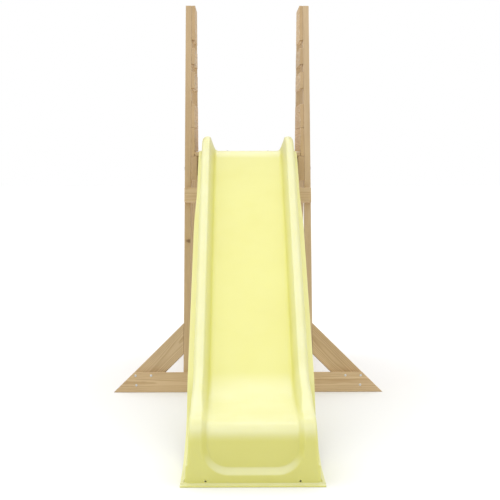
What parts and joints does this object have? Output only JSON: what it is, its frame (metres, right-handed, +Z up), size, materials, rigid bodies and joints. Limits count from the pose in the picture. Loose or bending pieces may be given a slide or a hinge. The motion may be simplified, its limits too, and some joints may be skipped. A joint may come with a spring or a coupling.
{
  "type": "straight slide",
  "caption": "Free-standing straight garden slide: a pale yellow moulded chute on a wooden A-frame tower with a ladder, slatted guards and side stabilisers.",
  "frame": {"origin": "on the ground, under the middle of the object's bounding box", "axes": "+Z up; the chute runs down towards -Y and the ladder stands at +Y; +X is to the right of someone who faces the foot of the chute"},
  "size_m": [1.344, 2.809, 1.968],
  "materials": {
    "pine": "planed pine, clear-stained, satin",
    "deck_pine": "planed pine, a little darker where feet wear it",
    "plastic": "satin pale lemon yellow polyethylene",
    "steel": "zinc-plated screws"
  },
  "bodies": {
    "root": {"beam_screw_left_1": "steel", "beam_screw_left_2": "steel", "beam_screw_left_3": "steel", "beam_screw_right_1": "steel", "beam_screw_right_2": "steel", "beam_screw_right_3": "steel", "bearer_screw_front_left": "steel", "bearer_screw_front_right": "steel", "bearer_screw_rear_left": "steel", "bearer_screw_rear_right": "steel", "chute": "plastic", "chute_screw_left": "steel", "chute_screw_right": "steel", "deck_bearer_left": "pine", "deck_bearer_right": "pine", "deck_board_1": "deck_pine", "deck_board_2": "deck_pine", "deck_board_3": "deck_pine", "deck_board_4": "deck_pine", "deck_board_5": "deck_pine", "deck_rail_front": "pine", "deck_rail_rear": "pine", "foot_rail_rear": "pine", "front_base_beam": "pine", "front_brace_left": "pine", "front_brace_right": "pine", "front_crossbar": "pine", "front_post_left": "pine", "front_post_right": "pine", "ground_rail_left": "pine", "ground_rail_right": "pine", "guard_panel_left": "pine", "guard_panel_right": "pine", "guard_sill_left": "pine", "guard_sill_right": "pine", "guard_slat_high_left": "pine", "guard_slat_high_right": "pine", "guard_slat_low_left": "pine", "guard_slat_low_right": "pine", "guard_top_left": "pine", "guard_top_right": "pine", "ladder_tread_1": "deck_pine", "ladder_tread_2": "deck_pine", "ladder_tread_3": "deck_pine", "ladder_tread_4": "deck_pine", "rail_screw_front_left": "steel", "rail_screw_front_right": "steel", "rail_screw_rear_left": "steel", "rail_screw_rear_right": "steel", "rear_stringer_left": "pine", "rear_stringer_right": "pine", "tread_screw_1_left": "steel", "tread_screw_1_right": "steel", "tread_screw_2_left": "steel", "tread_screw_2_right": "steel", "tread_screw_3_left": "steel", "tread_screw_3_right": "steel", "tread_screw_4_left": "steel", "tread_screw_4_right": "steel"}
  },
  "joints": []
}
